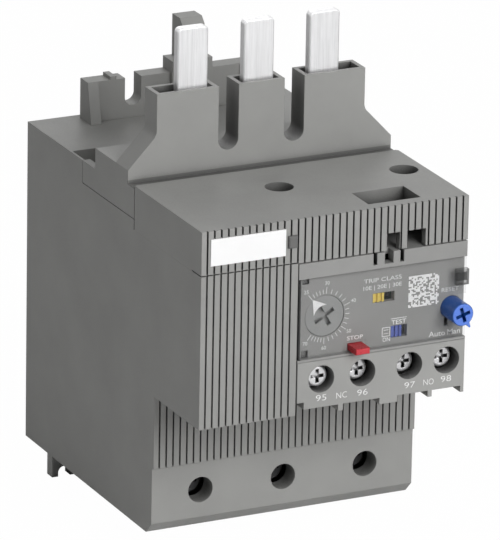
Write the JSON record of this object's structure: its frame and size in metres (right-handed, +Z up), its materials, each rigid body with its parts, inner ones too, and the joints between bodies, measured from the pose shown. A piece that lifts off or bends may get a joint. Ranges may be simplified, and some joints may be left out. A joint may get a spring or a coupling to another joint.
{
  "type": "overload relay",
  "caption": "Plug-on electronic overload relay with upright contact blades, setting dial, trip-class and test slides, stop button, reset knob, clear cover and auxiliary screw terminals.",
  "frame": {"origin": "middle of the lower edge of the rear mounting face", "axes": "+X to the right as seen from the front, +Y to the back (the rear mounting face's normal), +Z up along the blades"},
  "size_m": [0.07, 0.1042, 0.126],
  "materials": {
    "grey_plastic": "fine satin moulded plastic",
    "clear_plastic": "clear moulded plastic, glossy",
    "plated_bar": "tin-plated copper, satin",
    "plated_steel": "bright zinc-plated steel",
    "clamp_steel": "zinc-plated steel",
    "white_label": "smooth white",
    "latch_plastic": "satin",
    "core_steel": "bare laminated steel",
    "copper_winding": "enamelled copper wire",
    "circuit_board": "green solder mask",
    "chip_black": "satin black",
    "contact_brass": "satin brass with bright contacts",
    "carrier_plastic": "natural moulded plastic",
    "dial_grey": "satin",
    "yellow_plastic": "satin",
    "blue_plastic": "satin",
    "red_plastic": "satin",
    "spring_steel": "spring wire"
  },
  "bodies": {
    "frame": {"main_housing": "grey_plastic", "rear_cover": "grey_plastic", "top_cover": "grey_plastic", "terminal_shroud": "grey_plastic", "contactor_bracket": "grey_plastic", "contactor_hook": "grey_plastic", "control_housing": "grey_plastic", "aux_terminal_block": "grey_plastic", "busbar_1": "plated_bar", "busbar_2": "plated_bar", "busbar_3": "plated_bar", "cover_screws": "plated_steel", "marker_label": "white_label", "marker_latch": "latch_plastic", "transformer_core_1": "core_steel", "transformer_core_2": "core_steel", "transformer_core_3": "core_steel", "trip_yoke": "core_steel", "transformer_winding_1": "copper_winding", "transformer_winding_2": "copper_winding", "transformer_winding_3": "copper_winding", "trip_coil": "copper_winding", "control_board": "circuit_board", "board_chips": "chip_black", "slide_switches": "chip_black", "setting_potentiometer": "chip_black", "contact_strips": "contact_brass"},
    "clear_cover": {"clear_cover": "clear_plastic"},
    "dial": {"current_dial": "dial_grey"},
    "class_slider": {"trip_class_slider": "yellow_plastic"},
    "test_slider": {"test_slider": "blue_plastic"},
    "stop": {"stop_button": "red_plastic", "stop_spring": "spring_steel"},
    "reset_plunger": {"reset_plunger": "carrier_plastic", "reset_spring": "spring_steel"},
    "reset_knob": {"reset_knob": "blue_plastic"},
    "carrier": {"contact_carrier": "carrier_plastic", "trip_plunger": "core_steel", "no_bridge": "contact_brass"},
    "nc_bridge": {"nc_bridge": "contact_brass"},
    "load_screw_1": {"load_screw_1": "plated_steel"},
    "load_clamp_1": {"load_clamp_1": "clamp_steel"},
    "load_screw_2": {"load_screw_2": "plated_steel"},
    "load_clamp_2": {"load_clamp_2": "clamp_steel"},
    "load_screw_3": {"load_screw_3": "plated_steel"},
    "load_clamp_3": {"load_clamp_3": "clamp_steel"},
    "aux_clamp_1": {"aux_clamp_1": "clamp_steel"},
    "aux_screw_1": {"aux_screw_1": "plated_steel"},
    "aux_clamp_2": {"aux_clamp_2": "clamp_steel"},
    "aux_screw_2": {"aux_screw_2": "plated_steel"},
    "aux_clamp_3": {"aux_clamp_3": "clamp_steel"},
    "aux_screw_3": {"aux_screw_3": "plated_steel"},
    "aux_clamp_4": {"aux_clamp_4": "clamp_steel"},
    "aux_screw_4": {"aux_screw_4": "plated_steel"}
  },
  "joints": [
    {"name": "cover_hinge", "type": "hinge", "parent": "frame", "child": "clear_cover", "pos_m": [-0.0089, -0.0987, 0.0596], "axis": [0, 0, -1], "range_deg": [0, 110]},
    {"name": "dial_turn", "type": "hinge", "parent": "frame", "child": "dial", "pos_m": [-0.002, -0.0972, 0.0594], "axis": [0, 1, 0], "range_deg": [0, 270]},
    {"name": "trip_class_slide", "type": "slide", "parent": "frame", "child": "class_slider", "axis": [1, 0, 0], "range_m": [0, 0.0026]},
    {"name": "test_slide", "type": "slide", "parent": "frame", "child": "test_slider", "axis": [1, 0, 0], "range_m": [0, 0.00135]},
    {"name": "stop_push", "type": "slide", "parent": "frame", "child": "stop", "axis": [0, 1, 0], "range_m": [0, 0.0018], "stiffness_N_per_m": 200, "springref_m": -0.002, "deforming": ["stop_spring"]},
    {"name": "reset_push", "type": "slide", "parent": "frame", "child": "reset_plunger", "axis": [0, 1, 0], "range_m": [0, 0.002], "stiffness_N_per_m": 300, "springref_m": -0.002, "deforming": ["reset_spring"]},
    {"name": "reset_turn", "type": "hinge", "parent": "reset_plunger", "child": "reset_knob", "pos_m": [0.0317, -0.1012, 0.0569], "axis": [0, 1, 0], "range_deg": [0, 60]},
    {"name": "trip_slide", "type": "slide", "parent": "frame", "child": "carrier", "axis": [0, 1, 0], "range_m": [0, 0.002]},
    {"name": "nc_contact_lift", "type": "slide", "parent": "carrier", "child": "nc_bridge", "axis": [0, 1, 0], "range_m": [0, 0.0018]},
    {"name": "load_screw_1_turn", "type": "hinge", "parent": "frame", "child": "load_screw_1", "pos_m": [-0.02205, -0.0662, 0.00993], "axis": [0, 1, 0], "range_deg": [0, 1800]},
    {"name": "load_clamp_1_slide", "type": "slide", "parent": "frame", "child": "load_clamp_1", "axis": [0, -1, 0], "range_m": [0, 0.005]},
    {"name": "load_screw_2_turn", "type": "hinge", "parent": "frame", "child": "load_screw_2", "pos_m": [0, -0.0662, 0.00993], "axis": [0, 1, 0], "range_deg": [0, 1800]},
    {"name": "load_clamp_2_slide", "type": "slide", "parent": "frame", "child": "load_clamp_2", "axis": [0, -1, 0], "range_m": [0, 0.005]},
    {"name": "load_screw_3_turn", "type": "hinge", "parent": "frame", "child": "load_screw_3", "pos_m": [0.02205, -0.0662, 0.00993], "axis": [0, 1, 0], "range_deg": [0, 1800]},
    {"name": "load_clamp_3_slide", "type": "slide", "parent": "frame", "child": "load_clamp_3", "axis": [0, -1, 0], "range_m": [0, 0.005]},
    {"name": "aux_clamp_1_slide", "type": "slide", "parent": "frame", "child": "aux_clamp_1", "axis": [0, 1, 0], "range_m": [0, 0.0018]},
    {"name": "aux_screw_1_turn", "type": "hinge", "parent": "aux_clamp_1", "child": "aux_screw_1", "pos_m": [-0.0031, -0.0962, 0.0441], "axis": [0, 1, 0], "range_deg": [0, 1080]},
    {"name": "aux_clamp_2_slide", "type": "slide", "parent": "frame", "child": "aux_clamp_2", "axis": [0, 1, 0], "range_m": [0, 0.0018]},
    {"name": "aux_screw_2_turn", "type": "hinge", "parent": "aux_clamp_2", "child": "aux_screw_2", "pos_m": [0.0078, -0.0962, 0.0441], "axis": [0, 1, 0], "range_deg": [0, 1080]},
    {"name": "aux_clamp_3_slide", "type": "slide", "parent": "frame", "child": "aux_clamp_3", "axis": [0, 1, 0], "range_m": [0, 0.0018]},
    {"name": "aux_screw_3_turn", "type": "hinge", "parent": "aux_clamp_3", "child": "aux_screw_3", "pos_m": [0.0203, -0.0962, 0.0441], "axis": [0, 1, 0], "range_deg": [0, 1080]},
    {"name": "aux_clamp_4_slide", "type": "slide", "parent": "frame", "child": "aux_clamp_4", "axis": [0, 1, 0], "range_m": [0, 0.0018]},
    {"name": "aux_screw_4_turn", "type": "hinge", "parent": "aux_clamp_4", "child": "aux_screw_4", "pos_m": [0.0302, -0.0962, 0.0441], "axis": [0, 1, 0], "range_deg": [0, 1080]}
  ],
  "couplings": [
    {"joint": "nc_contact_lift", "follows": "stop_push", "ratio": 1},
    {"joint": "load_screw_1_turn", "follows": "load_clamp_1_slide", "rad_per_m": 6283.1},
    {"joint": "load_screw_2_turn", "follows": "load_clamp_2_slide", "rad_per_m": 6283.1},
    {"joint": "load_screw_3_turn", "follows": "load_clamp_3_slide", "rad_per_m": 6283.1},
    {"joint": "aux_screw_1_turn", "follows": "aux_clamp_1_slide", "rad_per_m": 10472},
    {"joint": "aux_screw_2_turn", "follows": "aux_clamp_2_slide", "rad_per_m": 10472},
    {"joint": "aux_screw_3_turn", "follows": "aux_clamp_3_slide", "rad_per_m": 10472},
    {"joint": "aux_screw_4_turn", "follows": "aux_clamp_4_slide", "rad_per_m": 10472}
  ]
}
